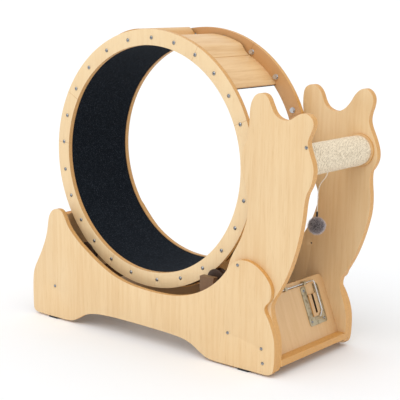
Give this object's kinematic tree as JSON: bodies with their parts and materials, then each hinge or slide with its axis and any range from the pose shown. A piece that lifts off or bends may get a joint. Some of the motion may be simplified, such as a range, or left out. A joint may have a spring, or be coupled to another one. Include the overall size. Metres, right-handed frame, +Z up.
{
  "type": "cat exercise wheel",
  "caption": "Carpeted plywood running wheel for a cat, rolling between two animal shaped side frames with a sisal post and a hanging fur ball.",
  "frame": {"origin": "on the floor, under the middle of the outline", "axes": "+Z up, +X from the low tail end to the animal heads, Y along the wheel's axle with -Y the near side in the picture"},
  "size_m": [1.0732, 0.414, 0.943],
  "materials": {
    "panel_plywood": "clear coated birch plywood",
    "ring_plywood": "clear coated plywood",
    "hoop_plywood": "bent plywood",
    "slat_plywood": "bent plywood, grain along the axle",
    "board_wood": "clear coated wood",
    "block_wood": "brown wood",
    "post_wood": "turned wood",
    "carpet": "short dark felt",
    "sisal": "woven sisal",
    "string": "twisted cotton",
    "fur": "short fur",
    "foot_rubber": "matte",
    "roller_rubber": "satin",
    "black_plastic": "satin",
    "grey_plastic": "satin",
    "fastener_steel": "zinc plated",
    "latch_steel": "zinc plated, a little tarnished",
    "wire_steel": "bright drawn wire"
  },
  "bodies": {
    "frame": {"near_base_panel": "panel_plywood", "far_base_panel": "panel_plywood", "near_head_panel": "panel_plywood", "far_head_panel": "panel_plywood", "tail_board": "board_wood", "end_board": "board_wood", "bottom_batten": "board_wood", "tail_cross_rail": "block_wood", "head_cross_rail": "block_wood", "rubber_feet": "foot_rubber", "panel_screws": "fastener_steel", "tail_axle": "fastener_steel", "head_axle": "fastener_steel", "axle_blocks": "block_wood", "axle_sleeves": "grey_plastic", "post_core": "post_wood", "post_collars": "post_wood", "sisal_cover": "sisal", "post_bolts": "fastener_steel", "latch_frame": "latch_steel", "latch_tongue": "board_wood", "latch_screws": "fastener_steel", "lever_keepers": "latch_steel"},
    "wheel": {"near_ring": "ring_plywood", "far_ring": "ring_plywood", "track_hoop": "hoop_plywood", "carpet_liner": "carpet", "track_slats": "slat_plywood", "near_ring_bolts": "fastener_steel", "far_ring_bolts": "fastener_steel", "near_ring_nuts": "fastener_steel", "far_ring_nuts": "fastener_steel"},
    "tail_near_roller_body": {"tail_near_roller": "roller_rubber"},
    "tail_far_roller_body": {"tail_far_roller": "roller_rubber"},
    "head_near_roller_body": {"head_near_roller": "roller_rubber"},
    "head_far_roller_body": {"head_far_roller": "roller_rubber"},
    "lever": {"lock_lever": "wire_steel"},
    "toy": {"toy_string": "string", "toy_crimp": "black_plastic", "fur_ball": "fur"}
  },
  "joints": [
    {"name": "wheel_spin", "type": "hinge", "parent": "frame", "child": "wheel", "pos_m": [-0.077, 0, 0.553], "axis": [0, 1, 0], "continuous": true},
    {"name": "tail_near_roller_spin", "type": "hinge", "parent": "frame", "child": "tail_near_roller_body", "pos_m": [-0.3418, -0.1345, 0.23177], "axis": [0, 1, 0], "continuous": true},
    {"name": "tail_far_roller_spin", "type": "hinge", "parent": "frame", "child": "tail_far_roller_body", "pos_m": [-0.3418, 0.1345, 0.23177], "axis": [0, 1, 0], "continuous": true},
    {"name": "head_near_roller_spin", "type": "hinge", "parent": "frame", "child": "head_near_roller_body", "pos_m": [0.1878, -0.1345, 0.23177], "axis": [0, 1, 0], "continuous": true},
    {"name": "head_far_roller_spin", "type": "hinge", "parent": "frame", "child": "head_far_roller_body", "pos_m": [0.1878, 0.1345, 0.23177], "axis": [0, 1, 0], "continuous": true},
    {"name": "lever_swing", "type": "hinge", "parent": "frame", "child": "lever", "pos_m": [0.36003, 0, 0.21083], "axis": [0, -1, 0], "range_deg": [0, 170]},
    {"name": "toy_swing", "type": "hinge", "parent": "frame", "child": "toy", "pos_m": [0.459, -0.042, 0.604], "axis": [0, 1, 0], "range_deg": [-60, 36]}
  ],
  "couplings": [
    {"joint": "tail_near_roller_spin", "follows": "wheel_spin", "ratio": -15},
    {"joint": "tail_far_roller_spin", "follows": "wheel_spin", "ratio": -15},
    {"joint": "head_near_roller_spin", "follows": "wheel_spin", "ratio": -15},
    {"joint": "head_far_roller_spin", "follows": "wheel_spin", "ratio": -15}
  ]
}
